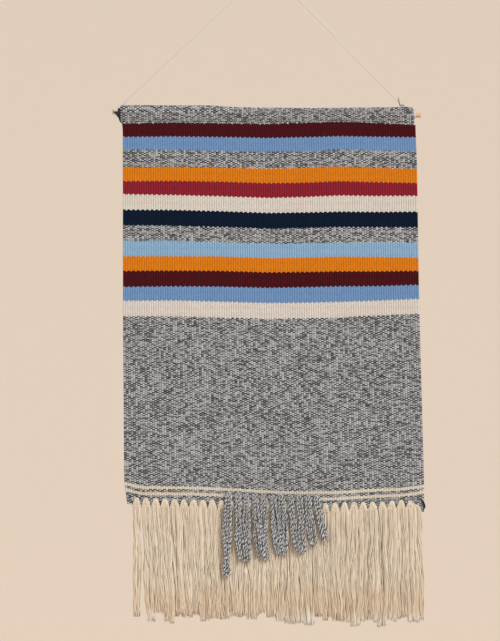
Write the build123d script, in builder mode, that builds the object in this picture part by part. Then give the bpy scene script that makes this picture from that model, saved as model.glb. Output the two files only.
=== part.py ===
from build123d import *
import os
from math import atan2, cos, degrees, pi, radians, sin

os.makedirs("parts", exist_ok=True)

# Driving dimensions, in millimetres. X runs to the right as the hanging is seen from the
# front, Z up, and the front faces -Y. The origin is where the two legs of the cord meet.
dowel_diameter = 10.0
dowel_length = 628.0
dowel_middle = (-2.5, -10.0, -297.6)
dowel_drop = 8.0  # the right end hangs this much lower than the left one
cord_diameter = 2.5
nail_diameter = 5.0
knot_left_x = -309.0
knot_right_x = 297.5
knot_left_z = -290.9
knot_right_z = -303.7
cloth_thickness = 3.0
sleeve_left_x = -300.0
sleeve_right_x = 293.0
sleeve_top_z = -284.0
sleeve_seam_z = -319.0
hem_end_z = -331.0
tassel_pitch = 19.2
tassel_first_x = -266.5
tassel_thickness = 9.0
grey_pitch = 17.9
grey_first_x = -79.5
grey_thickness = 8.0
clearance = 0.4

# The cloth hangs in the plane of the dowel's axis, with its turned hem behind it.
cloth_back_y = dowel_middle[1]
cloth_front_y = cloth_back_y - cloth_thickness
cloth_middle_y = (cloth_back_y + cloth_front_y) / 2

# Side edges of the cloth as (height, place across); the cloth widens a little downwards.
left_edge = [(-284, -300), (-332, -295), (-678, -294.5), (-1044, -292), (-1110, -284)]
right_edge = [(-284, 299.5), (-332, 299.5), (-474, 303.5), (-678, 306.5), (-1044, 317), (-1110, 317)]

# Heights of the borders between weft colours, at the left edge, the middle and the right edge.
borders = [
    (-319, -319, -319),
    (-346, -348, -346.5),
    (-372, -376.5, -375),
    (-407.5, -410.5, -411),
    (-436, -440, -439.5),
    (-463, -470, -466),
    (-494, -501, -498),
    (-526, -532.5, -530),
    (-557.5, -563, -560.5),
    (-588.5, -592.5, -591.5),
    (-619, -621.5, -618),
    (-651, -653.5, -647),
    (-679.5, -684, -675.5),
    (-711, -716, -706),
    (-1053, -1067, -1056),
    (-1057, -1071, -1060),
    (-1065, -1078, -1070),
    (-1069, -1082, -1074),
    (-1094, -1102, -1099),
]
band_yarns = [
    "maroon", "blue", "grey", "orange", "crimson", "cream", "navy", "grey", "light_blue",
    "orange", "maroon", "blue", "cream", "grey", "cream", "grey", "cream", "grey",
]

# Lower ends of the hanging yarns, one height for each tassel, from left to right.
cream_ends = [
    -1318, -1330, -1316, -1332, -1318, -1320, -1318, -1328, -1322, -1324,
    -1320, -1320, -1324, -1316, -1326, -1334, -1336, -1336, -1336, -1322,
    -1326, -1330, -1332, -1338, -1328, -1330, -1340, -1328, -1326, -1330,
]
grey_ends = [-1236, -1208, -1204, -1194, -1200, -1186, -1190, -1184, -1192, -1174, -1172]


def edge_x(edge, z):
    """Place across of a side edge at the height z, between its listed points."""
    for (z_above, x_above), (z_below, x_below) in zip(edge, edge[1:]):
        if z_below <= z <= z_above:
            return x_above + (x_below - x_above) * (z - z_above) / (z_below - z_above)
    return edge[0][1] if z > edge[0][0] else edge[-1][1]


def border_points(border):
    """Left, middle and right points of a border between two bands."""
    left_z, middle_z, right_z = border
    return [(edge_x(left_edge, left_z), left_z), (0, middle_z), (edge_x(right_edge, right_z), right_z)]


def border_z(border, x):
    """Height of a border at the place x across."""
    (x_left, z_left), (x_middle, z_middle), (x_right, z_right) = border_points(border)
    if x < x_middle:
        return z_middle + (z_left - z_middle) * (x - x_middle) / (x_left - x_middle)
    return z_middle + (z_right - z_middle) * (x - x_middle) / (x_right - x_middle)


def save(piece, name):
    """Label a finished piece and write its STEP file."""
    piece.part.label = name
    export_step(piece.part, f"parts/{name}.step")


# Dowel: a plain round stick with its ends lightly broken. It hangs a little askew.
dowel_angle = degrees(atan2(dowel_drop, dowel_length))
dowel_direction = Vector(cos(radians(dowel_angle)), 0, -sin(radians(dowel_angle)))


def dowel_section(x):
    """Plane square to the dowel at the place x across, facing its right end."""
    along = (x - dowel_middle[0]) / cos(radians(dowel_angle))
    return Plane(origin=Vector(*dowel_middle) + dowel_direction * along, x_dir=(0, 1, 0), z_dir=dowel_direction)


with BuildPart() as dowel:
    with BuildSketch(dowel_section(dowel_middle[0])):
        Circle(dowel_diameter / 2)
    extrude(amount=dowel_length / 2, both=True)
    chamfer(dowel.edges().filter_by(GeomType.CIRCLE), 0.5)
save(dowel, "dowel")


# Hanging cord: pulled straight from each knot to the nail, where it bends round the nail.
left_leg = Vector(knot_left_x, 0, knot_left_z)
right_leg = Vector(knot_right_x, 0, knot_right_z)
nail_bend_radius = (nail_diameter + cord_diameter) / 2

with BuildPart() as hanging_cord:
    with BuildLine() as cord_route:
        FilletPolyline(left_leg, (0, 0, 0), right_leg, radius=[nail_bend_radius])
    with BuildSketch(Plane(origin=left_leg, z_dir=-left_leg)):
        Circle(cord_diameter / 2)
    sweep(path=cord_route.wire())
save(hanging_cord, "hanging_cord")
cord_length = cord_route.wire().length
print("hanging_cord: bend radius", nail_bend_radius, "mm, length", round(cord_length, 1), "mm")
print("hanging_cord: volume", round(hanging_cord.part.volume, 1))
print("hanging_cord: section times length", round(cord_length * pi * cord_diameter**2 / 4, 1))


# Cord knots: three turns round the dowel's end, finished by a hitch behind it.
turn_pitch = 2.4
turn_radius = dowel_diameter / 2 + cord_diameter / 2 + 0.05
hitch_radius = 4.2

for name, x, hitch_z in (
    ("cord_knot_left", knot_left_x, knot_left_z),
    ("cord_knot_right", knot_right_x, knot_right_z),
):
    with BuildPart() as cord_knot:
        for turn in (-1, 0, 1):
            with Locations(dowel_section(x + turn * turn_pitch)):
                Torus(turn_radius, cord_diameter / 2)
        with Locations((x, 0, hitch_z)):
            Sphere(hitch_radius)
    save(cord_knot, name)


# Rod sleeve: the cloth's top end folded over the dowel as a loose pocket. Its two layers
# come together at the seam, and the turned-in end lies flat behind the cloth. At the right
# end the fold is cut back behind the front layer, so that the cord can leave the knot.
pocket_half_width = dowel_diameter / 2 + clearance
fold_radius = pocket_half_width + cloth_thickness
fold_centre_z = sleeve_top_z - fold_radius
pocket_bottom_z = dowel_middle[2] - dowel_diameter / 2 - dowel_drop / 2 - 1.0
pocket_point_z = sleeve_seam_z + 2.0
notch_left_x = 278.2
notch_bottom_z = knot_right_z - 2.0

with BuildPart() as rod_sleeve:
    with BuildSketch(Plane.YZ.offset(sleeve_left_x)):
        with BuildLine():
            Polyline(
                (cloth_back_y - fold_radius, fold_centre_z),
                (cloth_back_y - fold_radius, pocket_bottom_z),
                (cloth_front_y, sleeve_seam_z),
                (cloth_back_y, sleeve_seam_z),
                (cloth_back_y, hem_end_z),
                (cloth_back_y + cloth_thickness, hem_end_z),
                (cloth_back_y + cloth_thickness, sleeve_seam_z),
                (cloth_back_y + fold_radius, pocket_bottom_z),
                (cloth_back_y + fold_radius, fold_centre_z),
            )
            RadiusArc(
                (cloth_back_y + fold_radius, fold_centre_z),
                (cloth_back_y - fold_radius, fold_centre_z),
                -fold_radius,
            )
        make_face()
        with BuildLine():
            Polyline(
                (cloth_back_y - pocket_half_width, fold_centre_z),
                (cloth_back_y - pocket_half_width, pocket_bottom_z),
                (cloth_back_y, pocket_point_z),
                (cloth_back_y + pocket_half_width, pocket_bottom_z),
                (cloth_back_y + pocket_half_width, fold_centre_z),
            )
            RadiusArc(
                (cloth_back_y + pocket_half_width, fold_centre_z),
                (cloth_back_y - pocket_half_width, fold_centre_z),
                -pocket_half_width,
            )
        make_face(mode=Mode.SUBTRACT)
    extrude(amount=sleeve_right_x - sleeve_left_x)
    with Locations((notch_left_x, cloth_back_y - pocket_half_width, notch_bottom_z)):
        Box(
            sleeve_right_x - notch_left_x + 1,
            2 * fold_radius,
            sleeve_top_z - notch_bottom_z + 1,
            align=(Align.MIN, Align.MIN, Align.MIN),
            mode=Mode.SUBTRACT,
        )
save(rod_sleeve, "rod_sleeve")


# Sleeve stitches: a running stitch that holds the turned-in end to the back of the cloth.
stitch_length = 6.0
stitch_pitch = 11.0
stitch_size = 1.2
stitch_z = (sleeve_seam_z + hem_end_z) / 2
stitch_count = int((sleeve_right_x - sleeve_left_x - 20) / stitch_pitch)

with BuildPart() as sleeve_stitches:
    with Locations(((sleeve_left_x + sleeve_right_x) / 2, cloth_back_y + cloth_thickness, stitch_z)):
        with GridLocations(stitch_pitch, 1, stitch_count, 1):
            Box(stitch_length, stitch_size, stitch_size, align=(Align.CENTER, Align.MIN, Align.CENTER))
save(sleeve_stitches, "sleeve_stitches")


# Woven cloth: one weft yarn colour to each node, and one flat solid to each band of it.
for yarn in sorted(set(band_yarns)):
    with BuildPart() as weft:
        for above, below, band_yarn in zip(borders, borders[1:], band_yarns):
            if band_yarn != yarn:
                continue
            with BuildSketch(Plane.XZ.offset(-cloth_back_y)):
                with BuildLine():
                    Polyline(*border_points(above), *reversed(border_points(below)), close=True)
                make_face()
            extrude(amount=cloth_thickness)
    save(weft, f"weft_{yarn}")


# Fringe knots: each cream tassel is looped over the cloth's lower edge, so its knot has a
# short bar on the front and on the back of the cloth and a body below the edge.
cloth_end = borders[-1]
knot_width = 12.5
knot_bar = 2.6
knot_above = 8.0
knot_below = 7.0


def knot_seat(x):
    """Lowest point of the cloth's lower edge within the width of a knot at x."""
    return min(border_z(cloth_end, x - knot_width / 2), border_z(cloth_end, x + knot_width / 2)) - 0.2


cream_x = [tassel_first_x + tassel_pitch * i for i in range(len(cream_ends))]
with BuildPart() as fringe_knots:
    for x in cream_x:
        seat_z = knot_seat(x)
        with BuildSketch(Plane.YZ.offset(x - knot_width / 2)):
            with BuildLine():
                Polyline(
                    (cloth_front_y - knot_bar, seat_z + knot_above),
                    (cloth_front_y, seat_z + knot_above),
                    (cloth_front_y, seat_z),
                    (cloth_back_y, seat_z),
                    (cloth_back_y, seat_z + knot_above),
                    (cloth_back_y + knot_bar, seat_z + knot_above),
                    (cloth_back_y + knot_bar, seat_z - knot_below),
                    (cloth_front_y - knot_bar, seat_z - knot_below),
                    close=True,
                )
            make_face()
        extrude(amount=knot_width)
save(fringe_knots, "fringe_knots")


# Grey knots: the overlaid tassels are looped through the front of the cloth, higher up.
grey_row = borders[-3]
grey_knot_width = 12.0
grey_knot_height = 7.0
grey_knot_depth = 3.4 + grey_thickness
grey_x = [grey_first_x + grey_pitch * i for i in range(len(grey_ends))]


def grey_knot_top(x):
    """Height of the top of a grey tassel's knot, just under the upper thin stripe."""
    return border_z(grey_row, x) - 1.0


with BuildPart() as grey_knots:
    for x in grey_x:
        with Locations((x, cloth_front_y, grey_knot_top(x))):
            Box(
                grey_knot_width,
                grey_knot_depth,
                grey_knot_height,
                align=(Align.CENTER, Align.MAX, Align.MAX),
            )
save(grey_knots, "grey_knots")


# Tassels: a flat hank of yarn that hangs from its knot and widens downwards. The top is
# rounded about the line that it swings on.
def tassel(x, middle_y, top_z, end_z, thickness, top_width, end_left, end_right):
    with BuildPart() as hank:
        with BuildSketch(Plane.XZ.offset(-middle_y)):
            with BuildLine():
                Polyline(
                    (x - top_width / 2, top_z),
                    (x + top_width / 2, top_z),
                    (x + end_right, end_z),
                    (x - end_left, end_z),
                    close=True,
                )
            make_face()
        extrude(amount=thickness / 2, both=True)
        fillet(hank.edges().filter_by(Axis.X).group_by(Axis.Z)[-1], 0.49 * thickness)
    return hank


cream_half_width = 8.5
cream_top_width = 12.5
last_spread = 24.0  # the last tassel at the right fans out to the cloth's corner

for number, (x, end_z) in enumerate(zip(cream_x, cream_ends), start=1):
    top_z = knot_seat(x) - knot_below - clearance
    spread = last_spread if number == len(cream_x) else cream_half_width
    hank = tassel(
        x, cloth_middle_y, top_z, end_z, tassel_thickness, cream_top_width, cream_half_width, spread
    )
    save(hank, f"cream_tassel_{number:02d}")
    print(f"cream_tassel_{number:02d} swings at", round(x, 2), cloth_middle_y, round(top_z - tassel_thickness / 2, 2))

grey_middle_y = cloth_middle_y - tassel_thickness / 2 - clearance - grey_thickness / 2
grey_half_width = 8.4

for number, (x, end_z) in enumerate(zip(grey_x, grey_ends), start=1):
    top_z = grey_knot_top(x) - grey_knot_height - clearance
    hank = tassel(
        x, grey_middle_y, top_z, end_z, grey_thickness, grey_knot_width, grey_half_width, grey_half_width
    )
    save(hank, f"grey_tassel_{number:02d}")
    print(f"grey_tassel_{number:02d} swings at", round(x, 2), grey_middle_y, round(top_z - grey_thickness / 2, 2))


# Corner lashing, left: black thread wound round the dowel beside the sleeve and sewn down
# the cloth's edge.
lashing_wall = 1.8
lashing_left_x = -304.8
lashing_right_x = -300.4
lashing_top_z = -295.0
lashing_end_z = -316.0

with BuildPart() as corner_lashing:
    with BuildSketch(dowel_section(lashing_left_x)):
        Circle(dowel_diameter / 2 + clearance + lashing_wall)
        Circle(dowel_diameter / 2 + clearance, mode=Mode.SUBTRACT)
    extrude(amount=lashing_right_x - lashing_left_x)
    with BuildSketch(Plane.XZ.offset(lashing_wall / 2 + dowel_diameter / 2 - dowel_middle[1])):
        with BuildLine():
            Polyline(
                (lashing_left_x, lashing_top_z),
                (lashing_right_x, lashing_top_z),
                (lashing_right_x, lashing_end_z),
                (lashing_right_x - 1.2, lashing_end_z),
                close=True,
            )
        make_face()
    extrude(amount=lashing_wall)
save(corner_lashing, "corner_lashing")


# Corner thread, right: the stiff brown end of a thread that stands out of the fold's top
# and leans to the front, with one low loop beside it.
thread_diameter = 1.4
thread_root_z = sleeve_top_z - 0.5

with BuildPart() as corner_thread:
    with BuildLine() as thread_route:
        Spline(
            (265.5, cloth_back_y - 7.0, -266),
            (267.4, cloth_back_y - 4.8, -276),
            (269.6, cloth_back_y - 2.0, -282.0),
            (273.6, cloth_back_y, -280.8),
            (276.6, cloth_back_y, thread_root_z),
        )
    with BuildSketch(Plane(origin=thread_route.wire() @ 0, z_dir=thread_route.wire() % 0)):
        Circle(thread_diameter / 2)
    sweep(path=thread_route.wire())
save(corner_thread, "corner_thread")


# Corner tail, right: the black end of a yarn that hangs from the cloth's lower corner.
with BuildPart() as corner_tail:
    with BuildSketch(Plane.XZ.offset(-cloth_front_y)):
        with BuildLine():
            Polyline(
                (311.5, -1084),
                (315.5, -1083),
                (321.0, -1096),
                (321.0, -1103),
                (317.5, -1106),
                (316.0, -1098),
                close=True,
            )
        make_face()
    extrude(amount=2.5)
save(corner_tail, "corner_tail")
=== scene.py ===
import math
import random

import bpy
import numpy as np
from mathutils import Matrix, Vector


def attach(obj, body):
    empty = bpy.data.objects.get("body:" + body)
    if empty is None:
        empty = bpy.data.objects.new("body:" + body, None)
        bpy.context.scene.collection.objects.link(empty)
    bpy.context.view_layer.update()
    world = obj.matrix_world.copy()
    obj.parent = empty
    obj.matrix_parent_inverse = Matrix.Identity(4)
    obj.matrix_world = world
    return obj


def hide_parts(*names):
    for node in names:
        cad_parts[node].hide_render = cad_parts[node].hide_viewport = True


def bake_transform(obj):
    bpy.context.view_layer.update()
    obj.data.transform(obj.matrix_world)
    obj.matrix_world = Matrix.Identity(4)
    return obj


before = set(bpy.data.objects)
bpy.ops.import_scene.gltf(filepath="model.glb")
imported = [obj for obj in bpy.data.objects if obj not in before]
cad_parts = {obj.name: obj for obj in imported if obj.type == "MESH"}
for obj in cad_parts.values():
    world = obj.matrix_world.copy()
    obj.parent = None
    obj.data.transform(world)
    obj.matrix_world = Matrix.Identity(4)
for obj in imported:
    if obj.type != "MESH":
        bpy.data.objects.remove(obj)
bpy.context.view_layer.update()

# Camera: it stands square to the front of the hanging, level with the middle of the woven
# field, and far enough off for a flat view.
mm = 0.001
view_height = 1304 * mm
view_centre = (-36 * mm, -13 * mm, -719.4 * mm)
lens_length = 100
sensor_length = 36

camera_distance = view_height * lens_length / sensor_length
bpy.ops.object.camera_add(
    location=(view_centre[0], view_centre[1] - camera_distance, view_centre[2]),
    rotation=(math.pi / 2, 0, 0),
)
camera = bpy.context.object
camera.name = "front_camera"
camera.data.lens = lens_length
camera.data.sensor_width = sensor_length
camera.data.clip_end = 100
bpy.context.scene.camera = camera
bpy.context.scene.view_settings.view_transform = "Standard"


# Stage: a pale sand-coloured paper sweep that stands well behind the hanging, lit by one
# broad, soft light from the upper right and by an even white fill.
sweep_width = 30
sweep_depth = 7
sweep_floor = -4.4
sweep_rise = 12
sweep_bend = 1.6
sweep_length = sweep_width / 2 + sweep_depth
edge_reach = 0.1
sand_color = (0.765, 0.659, 0.557, 1)
light_tilt = math.radians(52)
light_turn = math.radians(38)
light_spread = math.radians(24)
light_strength = 1.95
fill_strength = 0.52

bpy.ops.object.select_all(action="DESELECT")
bpy.ops.mesh.primitive_plane_add(size=1)
sweep = bpy.context.object
sweep.name = "paper_sweep"
bpy.ops.object.mode_set(mode="EDIT")
bpy.ops.transform.resize(value=(sweep_width, sweep_length, 1))
bpy.ops.transform.translate(value=(0, sweep_depth - sweep_length / 2, sweep_floor))
bpy.ops.object.mode_set(mode="OBJECT")
for edge in sweep.data.edges:
    ends = [sweep.data.vertices[k].co.y for k in edge.vertices]
    edge.select = min(ends) > sweep_depth - edge_reach
for vertex in sweep.data.vertices:
    vertex.select = vertex.co.y > sweep_depth - edge_reach
for face in sweep.data.polygons:
    face.select = False
bpy.ops.object.mode_set(mode="EDIT")
bpy.ops.mesh.select_mode(type="EDGE")
bpy.ops.mesh.extrude_region_move(TRANSFORM_OT_translate={"value": (0, 0, sweep_rise)})
bpy.ops.object.mode_set(mode="OBJECT")
for edge in sweep.data.edges:
    ends = [sweep.data.vertices[k].co for k in edge.vertices]
    edge.select = all(
        end.y > sweep_depth - edge_reach and end.z < sweep_floor + edge_reach for end in ends
    )
for vertex in sweep.data.vertices:
    at_back = vertex.co.y > sweep_depth - edge_reach
    vertex.select = at_back and vertex.co.z < sweep_floor + edge_reach
bpy.ops.object.mode_set(mode="EDIT")
bpy.ops.mesh.bevel(offset=sweep_bend, segments=24)
bpy.ops.object.mode_set(mode="OBJECT")
bpy.ops.object.shade_smooth()
paper = bpy.data.materials.new("sand_paper")
paper.use_nodes = True
paper_surface = paper.node_tree.nodes["Principled BSDF"]
paper_surface.inputs["Base Color"].default_value = sand_color
paper_surface.inputs["Roughness"].default_value = 1.0
paper_surface.inputs["Specular IOR Level"].default_value = 0.0
sweep.data.materials.append(paper)

bpy.ops.object.light_add(type="SUN", rotation=(light_tilt, 0, light_turn))
soft_light = bpy.context.object
soft_light.name = "soft_light"
soft_light.data.energy = light_strength
soft_light.data.angle = light_spread
white_fill = bpy.data.worlds.new("white_fill")
bpy.context.scene.world = white_fill
white_fill.use_nodes = True
white_fill.node_tree.nodes["Background"].inputs["Color"].default_value = (1, 1, 1, 1)
white_fill.node_tree.nodes["Background"].inputs["Strength"].default_value = fill_strength


# Hanging cord: three plies of undyed cotton laid into a cord 2.5 mm thick. It leaves the
# hitch behind the dowel's left end, runs straight up to the nail, bends round it and runs
# straight down to the hitch at the right end.
cord_route = [
    (-309.0 * mm, 0.0, -290.9 * mm),
    (-10.9 * mm, 0.0, -10.3 * mm),
    (0.0, 0.0, 0.0),
    (10.5 * mm, 0.0, -10.7 * mm),
    (297.5 * mm, 0.0, -303.7 * mm),
]
cord_diameter = 2.5 * mm
cord_lay = 9 * mm
cord_step = cord_lay / 10
cord_ply_offset = 0.62 * mm
cord_ply_radius = 0.66 * mm


def smooth_line(control_points, fineness=24):
    """Places along the smooth spline that the control points draw."""
    route = bpy.data.curves.new("route", "CURVE")
    route.dimensions = "3D"
    spline = route.splines.new("NURBS")
    spline.points.add(len(control_points) - 1)
    for point, place in zip(spline.points, control_points):
        point.co = (*place, 1)
    spline.order_u = 3
    spline.use_endpoint_u = True
    spline.resolution_u = fineness
    holder = bpy.data.objects.new("route", route)
    line = bpy.data.meshes.new_from_object(holder)
    places = np.array([vertex.co for vertex in line.vertices])
    bpy.data.objects.remove(holder)
    bpy.data.curves.remove(route)
    bpy.data.meshes.remove(line)
    return places


def even_steps(places, step):
    """The same line with its places a step apart."""
    lengths = np.linalg.norm(np.diff(places, axis=0), axis=1)
    along = np.concatenate([[0], np.cumsum(lengths)])
    wanted = np.linspace(0, along[-1], max(2, round(along[-1] / step) + 1))
    return np.stack([np.interp(wanted, along, places[:, k]) for k in range(3)], axis=1)


def round_strands(name, strands, radius, sides=1, tapers=None):
    """A mesh of round strands, closed at both ends, that remembers its places at rest."""
    bundle = bpy.data.curves.new(name, "CURVE")
    bundle.dimensions = "3D"
    bundle.bevel_depth = radius
    bundle.bevel_resolution = sides
    bundle.use_fill_caps = True
    for number, strand in enumerate(strands):
        spline = bundle.splines.new("POLY")
        spline.points.add(len(strand) - 1)
        spline.points.foreach_set("co", np.c_[strand, np.ones(len(strand))].ravel())
        if tapers is not None:
            spline.points.foreach_set("radius", np.asarray(tapers[number], float))
        spline.use_smooth = True
    piece = bpy.data.objects.new(name, bundle)
    bpy.context.collection.objects.link(piece)
    bpy.ops.object.select_all(action="DESELECT")
    piece.select_set(True)
    bpy.context.view_layer.objects.active = piece
    bpy.ops.object.convert(target="MESH")
    piece = bpy.context.object
    bpy.ops.object.mode_set(mode="EDIT")
    bpy.ops.mesh.select_all(action="SELECT")
    bpy.ops.mesh.remove_doubles(threshold=1e-6)
    bpy.ops.mesh.normals_make_consistent(inside=False)
    bpy.ops.object.mode_set(mode="OBJECT")
    bpy.ops.object.shade_smooth()
    places = np.zeros(len(piece.data.vertices) * 3)
    piece.data.vertices.foreach_get("co", places)
    at_rest = piece.data.attributes.new("place_at_rest", "FLOAT_VECTOR", "POINT")
    at_rest.data.foreach_set("vector", places)
    return piece


def lay_plies(line, plies, offset, lay, phase=0.0):
    """The plies of a cord, wound round its line once in each lay length."""
    ahead = np.gradient(line, axis=0)
    ahead /= np.linalg.norm(ahead, axis=1)[:, None]
    side = np.zeros_like(line)
    side[0] = Vector(ahead[0]).orthogonal().normalized()
    for k in range(1, len(line)):
        side[k] = side[k - 1] - ahead[k] * side[k - 1].dot(ahead[k])
        side[k] /= np.linalg.norm(side[k])
    other = np.cross(ahead, side)
    steps = np.linalg.norm(np.diff(line, axis=0), axis=1)
    turn = 2 * math.pi * np.concatenate([[0], np.cumsum(steps)]) / lay
    wound = []
    for ply in range(plies):
        angle = (turn + phase + 2 * math.pi * ply / plies)[:, None]
        wound.append(line + offset * (np.cos(angle) * side + np.sin(angle) * other))
    return wound


def add_node(material, kind, inputs=None, **settings):
    """One shader node, with its inputs set to values or joined to other nodes' outputs."""
    made = material.node_tree.nodes.new(kind)
    for key, value in settings.items():
        setattr(made, key, value)
    for key, value in (inputs or {}).items():
        if isinstance(value, bpy.types.NodeSocket):
            material.node_tree.links.new(value, made.inputs[key])
        else:
            made.inputs[key].default_value = value
    return made


def calculate(material, operation, a, b=0.0):
    """The output of a Math node."""
    return add_node(material, "ShaderNodeMath", {0: a, 1: b}, operation=operation).outputs[0]


def blend_colors(material, share, first, second):
    """The colour output of a Mix node between two colours."""
    mix = add_node(material, "ShaderNodeMix", data_type="RGBA")
    for socket, value in ((mix.inputs[0], share), (mix.inputs[6], first), (mix.inputs[7], second)):
        if isinstance(value, bpy.types.NodeSocket):
            material.node_tree.links.new(value, socket)
        else:
            socket.default_value = value
    return mix.outputs[2]


def matt_material(name, roughness=0.92, sheen=0.0):
    """A matt surface, ready for its colour and its bump."""
    material = bpy.data.materials.new(name)
    material.use_nodes = True
    surface = material.node_tree.nodes["Principled BSDF"]
    surface.inputs["Roughness"].default_value = roughness
    surface.inputs["Specular IOR Level"].default_value = 0.06
    surface.inputs["Sheen Weight"].default_value = sheen
    surface.inputs["Sheen Roughness"].default_value = 0.6
    return material, surface


def finish_surface(material, surface, color, height, distance, strength=1.0):
    """Join a colour and a bump height to the surface."""
    links = material.node_tree.links
    links.new(color, surface.inputs["Base Color"])
    bump = add_node(
        material, "ShaderNodeBump", {"Height": height, "Strength": strength, "Distance": distance}
    )
    links.new(bump.outputs["Normal"], surface.inputs["Normal"])


def place_at_rest(material):
    """The places that a bundle of strands has at rest, so that its colours move with it."""
    return add_node(material, "ShaderNodeAttribute", attribute_name="place_at_rest").outputs["Vector"]


def fibre_noise(material, scale, stretch=(1, 1, 1), detail=3, place=None):
    """Noise at the places given, or on the piece's own coordinates, drawn out along its fibres."""
    if place is None:
        place = add_node(material, "ShaderNodeTexCoord").outputs["Object"]
    drawn = add_node(material, "ShaderNodeMapping", {"Vector": place, "Scale": stretch})
    noise = add_node(
        material,
        "ShaderNodeTexNoise",
        {"Vector": drawn.outputs["Vector"], "Scale": scale, "Detail": detail, "Roughness": 0.6},
    )
    return noise.outputs["Fac"]


def spun_cotton(name, shade_color, light_color, fibre_scale=900, stretch=(1, 1, 1)):
    """Spun yarn: two close shades that run with the fibres, and a hairy surface."""
    material, surface = matt_material(name, sheen=0.25)
    fibres = fibre_noise(material, fibre_scale, stretch, place=place_at_rest(material))
    color = blend_colors(material, fibres, (*shade_color, 1), (*light_color, 1))
    finish_surface(material, surface, color, fibres, distance=0.25 * mm, strength=0.6)
    return material


cord_line = even_steps(smooth_line(cord_route), cord_step)
cord_plies = lay_plies(cord_line, plies=3, offset=cord_ply_offset, lay=cord_lay)
cord = round_strands("hanging_cord_laid", cord_plies, radius=cord_ply_radius)
cord_cotton = spun_cotton("cord_cotton", (0.62, 0.59, 0.62), (0.88, 0.85, 0.86))
cord.data.materials.append(cord_cotton)
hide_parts("hanging_cord")
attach(cord, "hanger")


# Cord knots: each end of the cord takes three turns round the dowel and is closed behind
# it by an overhand knot, with the cut end left hanging a little way.
dowel_axis_y = -10 * mm
dowel_middle = Vector((-2.5 * mm, dowel_axis_y, -297.6 * mm))
dowel_length = 628
dowel_drop = 8
dowel_tilt = math.atan2(dowel_drop, dowel_length)
dowel_direction = Vector((math.cos(dowel_tilt), 0, -math.sin(dowel_tilt)))
turn_radius = 6.35 * mm
knot_turns = 3
turn_points = 16
overhand_points = 36
knot_size = 1.35 * mm


def dowel_point(x):
    """The point on the dowel's axis at the place x across."""
    return dowel_middle + dowel_direction * ((x - dowel_middle.x) / dowel_direction.x)


def tie_knot(name, node, x, hitch):
    """Turns of the cord round the dowel at the place x, its overhand knot and its cut end."""
    up = Vector((0, 1, 0)).cross(dowel_direction)
    if up.z < 0:
        up = -up
    turns = []
    steps = knot_turns * turn_points
    for k in range(steps + 1):
        angle = 2 * math.pi * k / turn_points + math.pi / 2
        centre = dowel_point(x + (k / steps - 0.5) * knot_turns * cord_diameter)
        turns.append(centre + turn_radius * (math.sin(angle) * Vector((0, 1, 0)) + math.cos(angle) * up))
    overhand = []
    for k in range(overhand_points + 1):
        t = 2 * math.pi * k / overhand_points
        across = math.sin(t) + 2 * math.sin(2 * t)
        height = math.cos(t) - 2 * math.cos(2 * t)
        depth = -math.sin(3 * t)
        overhand.append(hitch + knot_size * Vector((across * 0.85, depth - 0.2, height)))
    tail = [
        hitch + Vector((0, 0, -2 * mm)),
        hitch + Vector((1 * mm, 0.5 * mm, -5 * mm)),
        hitch + Vector((0.4 * mm, 0, -8 * mm)),
        hitch + Vector((1.4 * mm, 0, -12 * mm)),
    ]
    strands = []
    for route in (turns, overhand, tail):
        line = even_steps(smooth_line([tuple(p) for p in route], fineness=8), cord_step)
        strands += lay_plies(line, plies=3, offset=cord_ply_offset, lay=cord_lay)
    knot = round_strands(name, strands, radius=cord_ply_radius)
    knot.data.materials.append(cord_cotton)
    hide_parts(node)
    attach(knot, "hanger")
    return knot


left_hitch = Vector(cord_route[0])
right_hitch = Vector(cord_route[-1])
left_knot = tie_knot("cord_knot_left_tied", "cord_knot_left", cord_route[0][0], left_hitch)
right_knot = tie_knot("cord_knot_right_tied", "cord_knot_right", cord_route[-1][0], right_hitch)


# Dowel: a bare round stick of pale wood, sanded but not varnished. The fine grain runs along
# it, with a few darker streaks.
wood, wood_surface = matt_material("bare_wood", roughness=0.62)
wood_grain = fibre_noise(wood, scale=60, stretch=(0.6, 14, 14), detail=5)
wood_streaks = fibre_noise(wood, scale=22, stretch=(1, 30, 30), detail=2)
grain_color = blend_colors(wood, wood_grain, (0.60, 0.37, 0.16, 1), (0.86, 0.62, 0.34, 1))
streak_share = calculate(wood, "MULTIPLY", wood_streaks, 0.45)
wood_color = blend_colors(wood, streak_share, grain_color, (0.78, 0.50, 0.20, 1))
finish_surface(wood, wood_surface, wood_color, wood_grain, distance=0.2 * mm, strength=0.5)
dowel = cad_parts["dowel"]
for material_slot in dowel.material_slots:
    material_slot.link = "OBJECT"
    material_slot.material = wood


# Woven cloth: a weft-faced rib weave in heavy cotton. Each warp cord makes an upright rib,
# and the weft covers it with short floats that step by half a float from rib to rib.
# Where two yarns meet, their last floats interlock as a row of small teeth.
rib_count = 126
points_per_rib = 6
cloth_middle_y = -11.5 * mm
half_core = 0.6 * mm
rib_height = 1.0 * mm
float_height = 2.35 * mm
tooth_height = 1.1 * mm
stripe_tooth = 0.45 * mm
plain_left = -297
plain_width = 602
band_row = 9.0
low_band_row = 12.0

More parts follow.
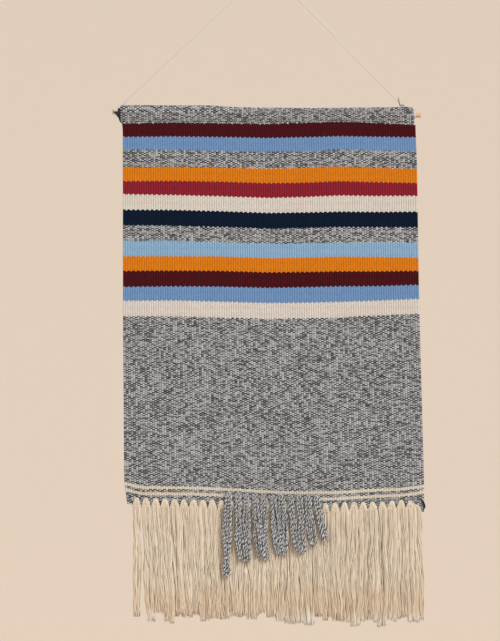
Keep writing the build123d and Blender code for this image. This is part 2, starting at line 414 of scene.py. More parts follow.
# Side edges as (height, place across), and the borders between two bands: the height of each
# at the eight stations across the cloth.
left_edge = [(-284, -300), (-332, -295), (-678, -294.5), (-1044, -292), (-1096, -285.5), (-1112, -284)]
right_edge = [(-284, 300), (-332, 301), (-410, 304), (-474, 305), (-678, 308), (-1044, 318), (-1112, 318)]
stations = (-290, -200, -100, 0, 80, 145, 220, 300)
borders = [
    (-318.5, -316, -317.5, -319, -316.5, -314.5, -317, -321),
    (-346, -345, -346, -348, -346.5, -344.5, -345.5, -346.5),
    (-372, -372, -374.5, -376.5, -375.5, -371.5, -373, -375),
    (-407.5, -407, -408, -410.5, -408.5, -406, -408.5, -411),
    (-436, -435.5, -437, -440, -439, -436, -438, -439.5),
    (-462.5, -464, -466.5, -470, -468, -465, -466, -465.5),
    (-494, -494.5, -497, -500.5, -499.5, -498, -498.5, -498),
    (-526, -526.5, -529, -532.5, -531, -529.5, -530, -530),
    (-557.5, -557, -560, -563, -562, -561, -560.5, -560.5),
    (-588.5, -588.5, -589, -592.5, -591, -589.5, -590, -591.5),
    (-618.5, -618, -618.5, -621.5, -620.5, -619.5, -619.5, -618.5),
    (-651, -650, -650.5, -653, -651.5, -650, -649.5, -647),
    (-679.5, -678.5, -681, -684, -683, -681.5, -679, -675.5),
    (-711, -711, -713, -716.5, -714.5, -713, -709, -706),
]
band_yarns = [
    "maroon", "blue", "grey", "orange", "crimson", "cream", "navy", "grey", "light_blue",
    "orange", "maroon", "blue", "cream",
]
# The lower end sags in the middle and turns up at its left corner. Two thin stripes run along
# it: the upper one is centred on the hem line, and the second is set below it.
hem_line = [
    (-300, -1050), (-288, -1053), (-268, -1059), (-156, -1060), (-107, -1062.4), (-56, -1065),
    (5, -1069), (70, -1070.5), (137, -1069.5), (202, -1064.6), (254, -1063), (293, -1058.5), (322, -1052),
]
thin_stripe = 5.9
second_stripe = -12.5
cloth_end = [
    (-300, -1092), (-286, -1092.5), (-272, -1100), (-107, -1104.5), (5, -1108), (137, -1107.5), (268, -1106),
    (300, -1107), (318, -1112),
]


def along_list(points, x):
    """Heights at the places x of a line given by a few points, eased between them."""
    across, heights = zip(*points)
    fine = np.linspace(across[0], across[-1], 241)
    line = np.interp(fine, across, heights)
    window = np.hanning(17)
    eased = np.convolve(np.pad(line, 8, mode="edge"), window / window.sum(), mode="valid")
    return np.interp(x, fine, eased)


def edge_place(edge, z):
    """Place across of a side edge at the heights z, in millimetres."""
    heights, across = zip(*reversed(edge))
    return np.interp(z, heights, across)


def border_height(border, x):
    """Height of a border between two yarns at the places x, in millimetres."""
    if callable(border):
        return border(x)
    return along_list(list(zip(stations, border)), x)


def hem_height(x):
    """Centre of the upper thin stripe."""
    return along_list(hem_line, x)


def cloth_end_height(x):
    """Height of the cloth's raw lower edge."""
    return along_list(cloth_end, x)


def ridge(ribs):
    """Height of the ribs' relief, from 0 in the grooves to 1 on the crowns."""
    return np.abs(np.sin(math.pi * ribs)) ** 0.75


def teeth(ribs, height=tooth_height):
    """Interlocking teeth of two yarns, one step to each rib."""
    return height / mm * np.cos(math.pi * (ribs - 0.5))


def share_past(value, start, run):
    """0 up to the start, 1 from one run past it, and even between."""
    return np.clip((value - start) / run, 0, 1)


def cloth_wave(x, z):
    """Slow waves of the hanging cloth, towards the wall and away from it."""
    below_sleeve = share_past(z, start=-330, run=-150)
    above_fringe = share_past(z, start=-1085, run=60)
    long_wave = 0.9 * np.sin(x / 95 + 0.8) * np.sin(z / 170)
    short_wave = 0.6 * np.sin(x / 43 - z / 260)
    return below_sleeve * above_fringe * (long_wave + short_wave)


def add_sheet_grid(name, columns, rows):
    """A flat grid made double, whose two faces are then set by shape_sheet."""
    bpy.ops.object.select_all(action="DESELECT")
    bpy.ops.mesh.primitive_grid_add(x_subdivisions=columns, y_subdivisions=rows, size=1)
    piece = bpy.context.object
    piece.name = name
    solidify = piece.modifiers.new("thickness", "SOLIDIFY")
    solidify.thickness = 0.01
    solidify.offset = 0
    bpy.ops.object.modifier_apply(modifier=solidify.name)
    return piece


def shape_sheet(piece, front, back, ribs, floats):
    """Put the grid's two faces in place and give it its count of ribs and floats."""
    mesh = piece.data
    co = np.zeros(len(mesh.vertices) * 3)
    mesh.vertices.foreach_get("co", co)
    co = co.reshape(-1, 3)
    rows, columns = ribs.shape
    column = np.rint((co[:, 0] + 0.5) * (columns - 1)).astype(int)
    row = np.rint((0.5 - co[:, 1]) * (rows - 1)).astype(int)
    raised = co[:, 2] > 0
    placed = np.where(raised[:, None], front[row, column], back[row, column]) * mm
    mesh.vertices.foreach_set("co", placed.ravel())
    uv = mesh.uv_layers.active or mesh.uv_layers.new(name="UVMap")
    corner = np.zeros(len(mesh.loops), int)
    mesh.loops.foreach_get("vertex_index", corner)
    pattern = np.c_[ribs[row, column][corner], floats[row, column][corner]]
    uv.data.foreach_set("uv", pattern.ravel())
    mesh.update()
    bpy.ops.object.mode_set(mode="EDIT")
    bpy.ops.mesh.select_all(action="SELECT")
    bpy.ops.mesh.normals_make_consistent(inside=False)
    bpy.ops.object.mode_set(mode="OBJECT")
    bpy.ops.object.shade_smooth_by_angle(angle=math.radians(62))


def weave_band(name, above, below, row_height, above_tooth, below_tooth):
    """One band of the cloth between two borders, which are read where a plain cloth's ribs stand."""
    ribs = np.linspace(0, rib_count, rib_count * points_per_rib + 1)
    x_flat = plain_left + ribs / rib_count * plain_width
    top = border_height(above, x_flat) + teeth(ribs, above_tooth)
    bottom = border_height(below, x_flat) + teeth(ribs, below_tooth)
    rows = max(2, round(float(np.mean(top - bottom)) / row_height))
    share = np.linspace(0, 1, rows + 1)[:, None]
    z = top + (bottom - top) * share
    left = edge_place(left_edge, z)
    right = edge_place(right_edge, z)
    x = left + (right - left) * ribs / rib_count
    y = cloth_middle_y / mm + cloth_wave(x, z)
    relief = (half_core + rib_height * ridge(ribs)) / mm * np.ones_like(z)
    front = np.stack([x, y - relief, z], axis=-1)
    back = np.stack([x, y + relief, z], axis=-1)
    piece = add_sheet_grid(name, len(ribs) - 1, rows)
    shape_sheet(piece, front, back, np.broadcast_to(ribs, z.shape), -z / (float_height / mm))
    return piece


def join_pieces(name, parts):
    """Join several meshes into one piece."""
    bpy.ops.object.select_all(action="DESELECT")
    for part in parts:
        part.select_set(True)
    bpy.context.view_layer.objects.active = parts[0]
    if len(parts) > 1:
        bpy.ops.object.join()
    joined = bpy.context.object
    joined.name = name
    return joined


def ramp(material, value, start, end, low, high):
    """The output of a Map Range node: low up to the start, high from the end on."""
    limits = {0: value, 1: start, 2: end, 3: low, 4: high}
    return add_node(material, "ShaderNodeMapRange", limits).outputs[0]


def woven_yarn(name, dark, light, marl, stray=None):
    """Weft yarn over ribs. marl is how much its floats differ: solid colours are near 0."""
    material, surface = matt_material(name)
    uv = add_node(material, "ShaderNodeTexCoord").outputs["UV"]
    parts = add_node(material, "ShaderNodeSeparateXYZ", {0: uv})
    rib = calculate(material, "FLOOR", parts.outputs[0])
    run = parts.outputs[1]
    pick = calculate(material, "FLOOR", run)
    within = calculate(material, "FRACT", run)
    across = calculate(material, "FRACT", parts.outputs[0])
    cell = add_node(material, "ShaderNodeCombineXYZ", {0: rib, 1: pick})
    chance = add_node(
        material, "ShaderNodeTexWhiteNoise", {"Vector": cell.outputs[0]}, noise_dimensions="2D"
    ).outputs["Value"]
    turn = calculate(material, "FLOORED_MODULO", calculate(material, "ADD", rib, pick), 2.0)
    fibres = fibre_noise(material, scale=1100, stretch=(1, 1, 1.6), detail=2)
    worn = fibre_noise(material, scale=26, detail=3)
    clumps = fibre_noise(material, scale=120, stretch=(1.6, 1, 0.5), detail=1)
    # A float's tone: its turn in the weave, its own chance, its fibres, wear, and clumps of floats.
    tone = 0.0
    for value, weight in (
        (turn, marl * 0.6), (chance, marl * 0.92 + 0.22), (fibres, 0.5), (worn, 0.3), (clumps, marl * 0.4),
    ):
        part = calculate(material, "MULTIPLY", calculate(material, "SUBTRACT", value, 0.5), weight)
        tone = calculate(material, "ADD", part, tone)
    share = add_node(
        material, "ShaderNodeMath", {0: tone, 1: 0.5}, operation="ADD", use_clamp=True
    ).outputs[0]
    color = blend_colors(material, share, (*dark, 1), (*light, 1))
    if stray is not None:
        patches = fibre_noise(material, scale=45, stretch=(1, 1, 2), detail=2)
        hint = ramp(material, patches, start=0.5, end=0.7, low=0.0, high=0.55)
        color = blend_colors(material, hint, color, (*stray, 1))
    swell = calculate(material, "SINE", calculate(material, "MULTIPLY", within, math.pi))
    swell = calculate(material, "POWER", swell, 0.6)
    # Painted shade: in the grooves between the ribs and in the gaps between the floats, the colour is drawn
    # towards a darker copy of the yarn's dark tone.
    crown = calculate(material, "SINE", calculate(material, "MULTIPLY", across, math.pi))
    groove_shade = ramp(material, crown, start=0.0, end=0.75, low=0.45, high=0.0)
    float_gap_shade = ramp(material, swell, start=0.0, end=0.8, low=0.15 + 0.3 * marl, high=0.0)
    shade = calculate(material, "MAXIMUM", groove_shade, float_gap_shade)
    color = blend_colors(material, shade, color, (dark[0] * 0.35, dark[1] * 0.35, dark[2] * 0.35, 1))
    height = calculate(material, "ADD", swell, calculate(material, "MULTIPLY", fibres, 0.35))
    finish_surface(material, surface, color, height, distance=0.8 * mm, strength=0.9)
    return material


weft_yarns = {
    "grey": woven_yarn("weft_grey_yarn", (0.038, 0.038, 0.040), (0.665, 0.67, 0.675), marl=1.0),
    "maroon": woven_yarn("weft_maroon_yarn", (0.062, 0.0065, 0.009), (0.110, 0.013, 0.018), marl=0.1),
    "blue": woven_yarn("weft_blue_yarn", (0.160, 0.297, 0.55), (0.253, 0.43, 0.72), marl=0.1),
    "light_blue": woven_yarn("weft_light_blue_yarn", (0.265, 0.45, 0.665), (0.395, 0.61, 0.84), marl=0.1),
    "orange": woven_yarn("weft_orange_yarn", (0.74, 0.20, 0.009), (0.98, 0.305, 0.017), marl=0.1),
    "crimson": woven_yarn("weft_crimson_yarn", (0.265, 0.017, 0.032), (0.395, 0.028, 0.049), marl=0.1),
    "cream": woven_yarn(
        "weft_cream_yarn", (0.73, 0.655, 0.575), (0.97, 0.91, 0.82), marl=0.15, stray=(0.88, 0.70, 0.65)
    ),
    "navy": woven_yarn("weft_navy_yarn", (0.004, 0.010, 0.026), (0.009, 0.020, 0.046), marl=0.1),
}
ivory_yarn = woven_yarn("weft_ivory_yarn", (0.74, 0.63, 0.47), (0.97, 0.88, 0.71), marl=0.15)


def stripe_edge(off_hem, side):
    """One edge of a thin stripe along the hem: side is 1 above its centre and -1 below."""

    def height(x):
        return hem_height(x) + off_hem + side * thin_stripe / 2

    return height


stripe_above = stripe_edge(0, 1)
stripe_below = stripe_edge(0, -1)
second_above = stripe_edge(second_stripe, 1)
second_below = stripe_edge(second_stripe, -1)
woven_bands = {yarn: [] for yarn in weft_yarns}
for above, below, yarn in zip(borders, borders[1:], band_yarns):
    band = weave_band(f"band_{yarn}", above, below, band_row, tooth_height, tooth_height)
    band.data.materials.append(weft_yarns[yarn])
    woven_bands[yarn].append(band)
low_bands = [
    ("grey", "band_field", borders[-1], stripe_above, tooth_height, stripe_tooth),
    ("cream", "band_thin_upper", stripe_above, stripe_below, stripe_tooth, stripe_tooth),
    ("grey", "band_between", stripe_below, second_above, stripe_tooth, stripe_tooth),
    ("cream", "band_thin_lower", second_above, second_below, stripe_tooth, stripe_tooth),
    ("grey", "band_end", second_below, cloth_end_height, stripe_tooth, 0.0),
]
for yarn, name, above, below, above_tooth, below_tooth in low_bands:
    band = weave_band(name, above, below, low_band_row, above_tooth, below_tooth)
    band.data.materials.append(ivory_yarn if yarn == "cream" else weft_yarns[yarn])
    woven_bands[yarn].append(band)

# Each yarn's bands are joined into one piece, which stands in for that yarn's weft part.
for yarn, bands in woven_bands.items():
    weft = join_pieces(f"woven_{yarn}", bands)
    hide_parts(f"weft_{yarn}")
    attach(weft, "cloth")


# Rod sleeve: the cloth's top end, folded back over the dowel and closed by a seam below it.
# It is looser than the dowel needs. Its back half ends short of the right corner, so that the
# cord can leave its knot, and the front half stands a little forward there.
sleeve_profile = [
    (0, -11.9, -319), (0, -12.3, -316.5), (0, -14.2, -311), (0, -16.2, -304), (0, -17.1, -298),
    (0, -17.3, -291), (0, -15.5, -285.5), (0, -10, -284.6), (0, -4.5, -285.5), (0, -2.7, -291),
    (0, -2.7, -298), (0, -3.0, -305), (0, -5.5, -311), (0, -8.3, -317), (0, -8.5, -323),
    (0, -8.5, -331),
]
sleeve_sides = [
    (-331, -295.5, 293), (-321, -295.5, 299), (-314, -300, 297), (-300, -300, 296),
    (-287, -299.3, 296.5), (-284, -298.5, 293),
]
sleeve_top = [
    (-300, 1.6), (-289, 2.3), (-237, 2.4), (-165, 2.1), (-113, 1.4), (-71, -1.2), (-16, -3.0), (147, -3.4),
    (225, -1.8), (262, -1.6), (282, -0.4), (290, -1.0), (299, -3.0),
]
sleeve_rows = 46
sleeve_middle_y = -10
sleeve_middle_z = -295
fold_front_y = -11.5
back_right_end = 277.5
seam_reach_z = -309
profile_seam_z = -318.2
top_reach_z = -297
corner_start_x = 287
corner_start_z = -315
corner_forward = 2.4
first_float = 319

profile = even_steps(smooth_line(sleeve_profile), step=1.0)
at_rows = np.linspace(0, len(profile) - 1, sleeve_rows + 1)
profile_y = np.interp(at_rows, np.arange(len(profile)), profile[:, 1])[:, None]
profile_z = np.interp(at_rows, np.arange(len(profile)), profile[:, 2])[:, None]
profile_run = (at_rows * np.linalg.norm(profile[1] - profile[0]))[:, None]
slope_y = np.gradient(profile_y[:, 0])[:, None]
slope_z = np.gradient(profile_z[:, 0])[:, None]
slope = np.hypot(slope_y, slope_z)
out_y, out_z = -slope_z / slope, slope_y / slope

sleeve_ribs = np.linspace(0, rib_count, rib_count * points_per_rib + 1)
sleeve_share = sleeve_ribs / rib_count
over_fold = share_past(profile_y, fold_front_y, run=-4)
in_front = profile_y < sleeve_middle_y
front_part = np.where(profile_z < sleeve_middle_z, in_front, over_fold)
side_heights, left_sides, right_sides = zip(*sleeve_sides)
left_end = np.interp(profile_z, side_heights, left_sides)
front_right_end = np.interp(profile_z, side_heights, right_sides)
right_end = front_part * front_right_end + (1 - front_part) * back_right_end
sleeve_x = left_end + (right_end - left_end) * sleeve_share
near_seam = share_past(profile_z, seam_reach_z, run=-10) * in_front
seam_height = border_height(borders[0], sleeve_x) + teeth(sleeve_ribs)
at_top = share_past(profile_z, top_reach_z, run=12)
top_wave = along_list(sleeve_top, sleeve_x) + 0.35 * np.sin(sleeve_x / 23 + 1)
sleeve_z = profile_z + near_seam * (seam_height - profile_seam_z) + at_top * top_wave
past_corner = share_past(sleeve_x, corner_start_x, run=6)
above_seam = share_past(profile_z, corner_start_z, run=8)
sleeve_y = profile_y - corner_forward * (past_corner * in_front * above_seam)
sleeve_relief = (half_core + rib_height * ridge(sleeve_ribs)) / mm
relief_y = out_y * sleeve_relief
relief_z = out_z * sleeve_relief
outer = np.stack([sleeve_x, sleeve_y + relief_y, sleeve_z + relief_z], axis=-1)
inner = np.stack([sleeve_x, sleeve_y - relief_y, sleeve_z - relief_z], axis=-1)
sleeve = add_sheet_grid("rod_sleeve_folded", len(sleeve_ribs) - 1, sleeve_rows)
sleeve_floats = np.broadcast_to((first_float - profile_run) / (float_height / mm), sleeve_x.shape)
shape_sheet(sleeve, outer, inner, np.broadcast_to(sleeve_ribs, sleeve_x.shape), sleeve_floats)
sleeve.data.materials.append(weft_yarns["grey"])
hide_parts("rod_sleeve")
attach(sleeve, "cloth")


# Sleeve stitches: a running stitch in grey thread that holds the turned-in end to the back
# of the cloth. Each stitch comes out of the cloth, lies flat for 6 mm and goes in again.
thread_grey = spun_cotton("sewing_thread", (0.05, 0.05, 0.05), (0.16, 0.16, 0.16))
stitch_count = 52
stitch_pitch = 11
stitch_middle = -3.5

stitches = []
for k in range(stitch_count):
    x = stitch_middle + (k - (stitch_count - 1) / 2) * stitch_pitch
    stitch = [
        (x - 2.9, -8.2, -325.2), (x - 2.7, -6.6, -325.1), (x - 1.5, -6.3, -325),
        (x + 1.5, -6.3, -324.9), (x + 2.7, -6.6, -325), (x + 2.9, -8.2, -325.1),
    ]
    stitches.append(np.array(stitch) * mm)
stitching = round_strands("sleeve_stitching", stitches, radius=0.55 * mm)
stitching.data.materials.append(thread_grey)
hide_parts("sleeve_stitches")
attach(stitching, "cloth")


# Fringe knots: every cream tassel is a bundle of cotton yarn folded in half, pushed through
# the cloth just above its raw edge and drawn through its own fold, which leaves an arch of
# yarn in front.
tassel_pitch = 19.2
tassel_first = -266.5
tassel_count = 30
folds_per_knot = 8
arches_per_knot = 5
knot_line = [
    (-300, -1086.5), (-268, -1087), (-107, -1091.5), (5, -1097.2), (137, -1097.3), (268, -1092.5),
    (300, -1091.5),
]
cream_cotton = spun_cotton(
    "tassel_cream", (0.70, 0.57, 0.415), (0.97, 0.865, 0.70), fibre_scale=420, stretch=(1, 1, 0.22)
)


def knot_strands(rng, x, seat, front, back, half_width, rise):
    """Folds of yarn over the edge that they sit on, and the arch in front that holds them."""
    strands = []
    shoulder = seat + rise - 1
    for k in range(folds_per_knot):
        across = (k / (folds_per_knot - 1) * 2 - 1) * half_width * 0.8
        lean = rng.uniform(-0.4, 0.4)
        fold = [
            (x + across * 1.7, front + 2.2, seat - 13), (x + across * 1.25 + lean, front - 0.3, seat - 6.5),
            (x + across * 0.9, front - 1.1, seat + rise * 0.2), (x + across * 0.7, front + 0.6, shoulder),
            (x + across * 0.65, (front + back) / 2, seat + rise), (x + across * 0.65, back - 0.4, shoulder),
            (x + across, back + 0.6, seat - 4), (x + across * 1.5, back - 1.2, seat - 12),
        ]
        strands.append(even_steps(smooth_line(fold, fineness=6), step=2.2) * mm)
    for k in range(arches_per_knot):
        wide = half_width * (1.05 - 0.16 * k) + rng.uniform(-0.3, 0.3)
        top = seat + rise - 1.5 * k + rng.uniform(-0.7, 0.7)
        skew = rng.uniform(-0.8, 0.8)
        arch = [
            (x - wide * 1.55, front + 2.4, seat - 12), (x - wide * 1.15, front - 0.5, seat - 6),
            (x - wide * 0.85, front - 1.7, top - 4), (x - wide * 0.55 + skew, front - 2.3, top),
            (x + wide * 0.55 + skew, front - 2.3, top), (x + wide * 0.85, front - 1.7, top - 4),
            (x + wide * 1.15, front - 0.5, seat - 6), (x + wide * 1.55, front + 2.4, seat - 12),
        ]
        strands.append(even_steps(smooth_line(arch, fineness=6), step=2.2) * mm)
    return strands


rng = random.Random(11)
cream_places = [tassel_first + tassel_pitch * i for i in range(tassel_count)]
cream_seats = [float(along_list(knot_line, x)) for x in cream_places]
loops = []
for x, seat in zip(cream_places, cream_seats):
    loops += knot_strands(
        rng, x + rng.uniform(-0.6, 0.6), seat, front=-14.3, back=-8.7,
        half_width=5.4 + rng.uniform(-0.5, 0.4), rise=6.2 + rng.uniform(-0.8, 0.7),
    )
cream_knots = round_strands("fringe_knots_looped", loops, radius=0.95 * mm)
cream_knots.data.materials.append(cream_cotton)
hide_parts("fringe_knots")
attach(cream_knots, "cloth")


# Cream tassels: loose cotton strands that hang from the knots and part into wavy locks. Their
# ends were cut by hand, so they are uneven, frayed and a little whiter.
cream_ends = [
    -1318, -1330, -1316, -1332, -1318, -1320, -1318, -1328, -1322, -1324,
    -1320, -1320, -1324, -1316, -1326, -1334, -1336, -1336, -1336, -1322,
    -1326, -1330, -1332, -1338, -1328, -1330, -1340, -1328, -1326, -1330,
]
cream_drifts = [
    0.5, 10, 10, 9, 8, 6, 9, 8, 7, 6, 6, 5, 5, 4, 5, 5, 4, 4, 4, 3, 3, 3, 2, 2, 2, 2, 1, 1, 1, 9.5,
]
cream_widths = [14.5, 18.5] + [20.6] * 27 + [35]
cream_middle_y = -11.5


def lock_strands(
    rng, x, top, end, drift, widths, spread_run, middle_y, half_depth, locks, lock_yarns, step,
    drift_power=1.2, own_wave=1.0, sway_size=1.0, gather=0.0,
):
    """Strands of one tassel, in a few locks that each turn slowly, sway and part from the next.

    widths are the tassel's own at its top and lower down, reached over spread_run. drift moves its
    end sideways, own_wave and sway_size set how much the strands and the locks wave, and gather
    is how far each lock closes at its end.
    """
    top_width, low_width = widths
    length = top - end
    points = max(6, round(length / step))
    t = np.linspace(0, 1, points)
    down = t * length
    loosen = share_past(down, start=0, run=50) ** 0.8
    width = top_width + (low_width - top_width) * share_past(down, start=0, run=spread_run) ** 0.65
    cuts = [0.0] + sorted((k + rng.uniform(-0.22, 0.22)) / locks for k in range(1, locks)) + [1.0]
    sway_all = loosen * 1.2 * np.sin(down / rng.uniform(30, 45) + rng.uniform(0, 6.3))
    strands = []
    tapers = []
    for lock in range(locks):
        centre = (cuts[lock] + cuts[lock + 1]) - 1
        lock_width = (cuts[lock + 1] - cuts[lock]) * width
        long_phase = rng.uniform(0, 6.3)
        short_phase = rng.uniform(0, 6.3)
        long_sway = np.sin(down / rng.uniform(19, 27) + long_phase)
        short_sway = 0.5 * np.sin(down / rng.uniform(8, 12) + short_phase)
        sway = (long_sway + short_sway) * sway_size
        closing = 1 - gather * share_past(t, start=0.6, run=0.4) ** 1.5
        hand = rng.choice((-1, 1))
        turn = hand * (rng.uniform(0.6, 1.4) * down / 90 + 0.5 * np.sin(down / 28 + short_phase))
        lock_end = rng.uniform(-6, 5)
        forward = rng.uniform(-1.1, 1.1) * loosen
        for k in range(lock_yarns):
            angle = 2 * math.pi * k / lock_yarns + turn + rng.uniform(-0.25, 0.25)
            spread = 0.86 if k % 4 else 0.45
            own = 0.4 * np.sin(down / rng.uniform(5, 12) + rng.uniform(0, 6.3)) * loosen
            flare = share_past(t, start=0.95, run=0.05) * rng.uniform(-1.2, 1.2)
            side = np.cos(angle) * lock_width / 2 * spread * closing
            strand_x = x + drift * t**drift_power + centre * width / 2 + side + sway * loosen + sway_all
            strand_x = strand_x + own * own_wave + flare
            strand_y = middle_y + np.sin(angle) * half_depth * spread + forward
            short = lock_end + (rng.uniform(-4, 3) if rng.random() > 0.1 else rng.uniform(6, 14))
            strand_z = top - t * (length - max(short, -4))
            strands.append(np.stack([strand_x, strand_y, strand_z], axis=1) * mm)
            tapers.append(np.interp(t, [0, 0.95, 1], [1, 1, 0.7]) * rng.uniform(0.85, 1.15))
    return strands, tapers


# The strands are paler above, warmer in their lower third, and whiter at their cut ends. Between the locks,
# in the middle of a tassel's depth, a dark brown is painted as the shade in the clefts between them.
hidden_middle = 14 * mm
place = place_at_rest(cream_cotton)
across, depth, height = add_node(cream_cotton, "ShaderNodeSeparateXYZ", {0: place}).outputs
patches = fibre_noise(cream_cotton, scale=38, stretch=(1, 1, 0.5), detail=2, place=place)
patchy = calculate(cream_cotton, "MULTIPLY", patches, 60 * mm)
level = calculate(cream_cotton, "ADD", height, patchy)
warm_share = ramp(cream_cotton, level, start=-1205 * mm, end=-1260 * mm, low=0.0, high=0.34)
tip_share = ramp(cream_cotton, level, start=-1286 * mm, end=-1304 * mm, low=0.0, high=0.8)
cream_surface = cream_cotton.node_tree.nodes["Principled BSDF"]
plain_cream = cream_surface.inputs["Base Color"].links[0].from_socket
warmer = blend_colors(cream_cotton, warm_share, plain_cream, (0.72, 0.49, 0.29, 1))
with_tips = blend_colors(cream_cotton, tip_share, warmer, (0.95, 0.90, 0.82, 1))
off_middle = calculate(cream_cotton, "SUBTRACT", across, hidden_middle)
from_centre = calculate(cream_cotton, "ABSOLUTE", off_middle)
set_back = ramp(cream_cotton, from_centre, start=112 * mm, end=118 * mm, low=9.6 * mm, high=11.2 * mm)
from_middle = calculate(cream_cotton, "ABSOLUTE", calculate(cream_cotton, "ADD", depth, set_back))
below_knot = ramp(cream_cotton, height, start=-1098 * mm, end=-1125 * mm, low=0.0, high=1.0)
# Painted shade: dark brown at the middle depth, below the knots, where the sides of the locks face the
# clefts between them.
cleft_shade = ramp(cream_cotton, from_middle, start=0.4 * mm, end=2.0 * mm, low=0.85, high=0.0)
cleft_shade = calculate(cream_cotton, "MULTIPLY", cleft_shade, below_knot)
with_cleft_shade = blend_colors(cream_cotton, cleft_shade, with_tips, (0.30, 0.165, 0.072, 1))
cream_cotton.node_tree.links.new(with_cleft_shade, cream_surface.inputs["Base Color"])

# Numbers 10 to 21 hang behind the grey tassels, a little further back. The last one is wider
# and spreads over the cloth's corner.
rng = random.Random(5)
for number, (x, seat, end, drift, low) in enumerate(
    zip(cream_places, cream_seats, cream_ends, cream_drifts, cream_widths), start=1
):
    behind = 1.6 if 10 <= number <= 21 else 0.0
    corner = number == tassel_count
    strands, tapers = lock_strands(
        rng, x, seat + 0.5, end, drift, widths=(13, low), spread_run=13,
        middle_y=cream_middle_y + behind, half_depth=3.5, locks=4 if corner else 2, lock_yarns=27, step=6,
        drift_power=0.2 if corner else 1.2,
    )
    node = f"cream_tassel_{number:02d}"
    tassel = round_strands(f"{node}_yarns", strands, radius=0.8 * mm, sides=0, tapers=tapers)
    tassel.data.materials.append(cream_cotton)
    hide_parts(node)
    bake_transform(tassel)


# Grey knots: eleven shorter tassels in the marled yarn are looped the same way through the
# front of the cloth, under the upper thin stripe.
grey_pitch = 17.9
grey_first = -79.5
grey_count = 11
black_ply = spun_cotton(
    "marl_black_ply", (0.020, 0.020, 0.021), (0.075, 0.075, 0.077), fibre_scale=700, stretch=(1, 1, 0.5)
)
white_ply = spun_cotton(
    "marl_white_ply", (0.62, 0.63, 0.64), (0.94, 0.95, 0.96), fibre_scale=700, stretch=(1, 1, 0.5)
)
ply_lay = 10 * mm
ply_offset = 0.47 * mm
ply_radius = 0.64 * mm


def marled_yarns(name, lines, tapers=None):
    """Two-ply yarns, one ply black and one white, as a mesh with a material for each ply."""
    plies = ([], [])
    ply_tapers = ([], [])
    for number, line in enumerate(lines):
        fine = even_steps(line, ply_lay / 7)
        lay = ply_lay * (1 + 0.35 * math.sin(number * 1.9))
        for ply, strand in enumerate(lay_plies(fine, 2, ply_offset, lay, phase=number * 2.4)):
            plies[ply].append(strand)
            if tapers is not None:
                share = np.linspace(0, 1, len(strand))
                taper_share = np.linspace(0, 1, len(tapers[number]))
                ply_tapers[ply].append(np.interp(share, taper_share, tapers[number]))
    parts = []
    for ply, material in enumerate((black_ply, white_ply)):
        part_tapers = None if tapers is None else ply_tapers[ply]
        part = round_strands(name, plies[ply], radius=ply_radius, sides=0, tapers=part_tapers)
        part.data.materials.append(material)
        parts.append(part)
    return join_pieces(name, parts)


rng = random.Random(23)
grey_places = [grey_first + grey_pitch * j for j in range(grey_count)]
grey_tops = [float(hem_height(x)) - thin_stripe / 2 - 1 for x in grey_places]
loops = []
for x, top in zip(grey_places, grey_tops):
    loops += knot_strands(rng, x, top - 6, front=-18.6, back=-14.6, half_width=5.8, rise=5.5)
grey_loops = marled_yarns("grey_knots_looped", loops)
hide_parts("grey_knots")
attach(grey_loops, "cloth")


# Grey tassels: the marled yarns hang in front of the cream ones and step up from the long
# tassel at the left to the short ones at the right, which lean to the right.
grey_ends = [-1236, -1206, -1210, -1199, -1202, -1190, -1193, -1186, -1192, -1174, -1172]
grey_drifts = [-6, 9, 4, 10, 4, 12, 8, 13, 8, 10, 17]
grey_widths = [15, 13.5, 13, 15, 13.5, 14, 17, 12.5, 14, 16.5, 15]
grey_middle_y = -20.4

for number, (x, top, end, drift, low) in enumerate(
    zip(grey_places, grey_tops, grey_ends, grey_drifts, grey_widths), start=1
):
    strands, tapers = lock_strands(
        rng, x, top - 3, end, drift, widths=(11.5, low), spread_run=40, middle_y=grey_middle_y,
        half_depth=2.5, locks=3, lock_yarns=7, step=4, own_wave=2.0, sway_size=1.7, gather=0.45,
    )
    node = f"grey_tassel_{number:02d}"
    tassel = marled_yarns(f"{node}_yarns", strands, tapers)
    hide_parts(node)
    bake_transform(tassel)


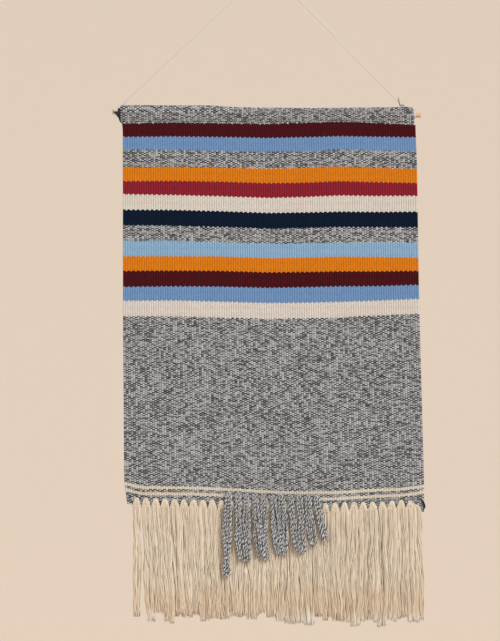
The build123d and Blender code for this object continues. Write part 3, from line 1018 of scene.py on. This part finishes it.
# Corner lashing: black thread wound four times round the dowel beside the sleeve, then fanned
# out in front of the stub and sewn down the corner of the cloth.
lash_turns = 4
lash_points = 14
lash_left = -304.3
lash_width = 3.6
lash_radius = 6.1 * mm
fan_threads = 9
black_thread = spun_cotton("black_thread", (0.006, 0.006, 0.007), (0.030, 0.030, 0.032))
lashing = []
ring = []
for k in range(lash_turns * lash_points + 1):
    angle = 2 * math.pi * k / lash_points
    centre = dowel_point((lash_left + lash_width * k / (lash_turns * lash_points)) * mm)
    ring.append(centre + lash_radius * Vector((0, -math.sin(angle), math.cos(angle))))
lashing.append(np.array([tuple(point) for point in ring]))
for k in range(fan_threads):
    run = [
        (-312.8 + 1.65 * k, -17.6, -294.6 - 0.2 * (k % 2)), (-311.2 + 1.45 * k, -18.7, -297.2),
        (-307.2 + 0.95 * k, -18.9, -300.6), (-303.6 + 0.45 * k, -18.6, -306.0),
        (-301.6 + 0.25 * k, -17.2, -310.5), (-300.6 + 0.2 * k, -15.2, -314.2 - 0.3 * k),
    ]
    lashing.append(even_steps(smooth_line(run, fineness=6), step=1.2) * mm)
corner_lash = round_strands("corner_lashing_wound", lashing, radius=0.75 * mm)
corner_lash.data.materials.append(black_thread)
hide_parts("corner_lashing")
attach(corner_lash, "cloth")


# Corner thread: the stiff brown end of a thread that stands out of the fold's top, with one
# low loop beside it that goes back into the cloth.
brown_thread = spun_cotton("brown_thread", (0.05, 0.022, 0.018), (0.13, 0.065, 0.050))
thread_run = [
    (265.3, -17, -265.6), (266.2, -16.2, -270), (267.4, -14.6, -276.5), (269.2, -12, -283),
    (271.5, -10.5, -282.4), (275, -10, -279.6), (277.5, -10, -282), (278.5, -10, -286),
]
thread_line = even_steps(smooth_line(thread_run), step=0.8) * mm
thread_taper = [np.interp(np.linspace(0, 1, len(thread_line)), [0, 0.12, 1], [0.5, 1, 1])]
corner_end = round_strands("corner_thread_end", [thread_line], radius=0.75 * mm, tapers=thread_taper)
corner_end.data.materials.append(brown_thread)
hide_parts("corner_thread")
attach(corner_end, "cloth")


# Corner tail: the cut black ends of a yarn, left hanging from the cloth's lower right corner
# where the weaver finished off the edge.
tail_strands = 5
tails = []
for k in range(tail_strands):
    tail = [
        (311.5 + k * 1.0, -13.2, -1083 - 0.6 * k), (314.5 + k * 0.8, -14.4, -1087 - k * 0.4),
        (317.2 + k * 0.7, -14.6, -1095), (317.4 + k * 0.8, -14.2, -1105 + 1.6 * k),
    ]
    tails.append(even_steps(smooth_line(tail, fineness=6), step=1.5) * mm)
corner_ends = round_strands("corner_tail_yarn", tails, radius=0.8 * mm)
corner_ends.data.materials.append(black_thread)
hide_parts("corner_tail")
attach(corner_ends, "cloth")
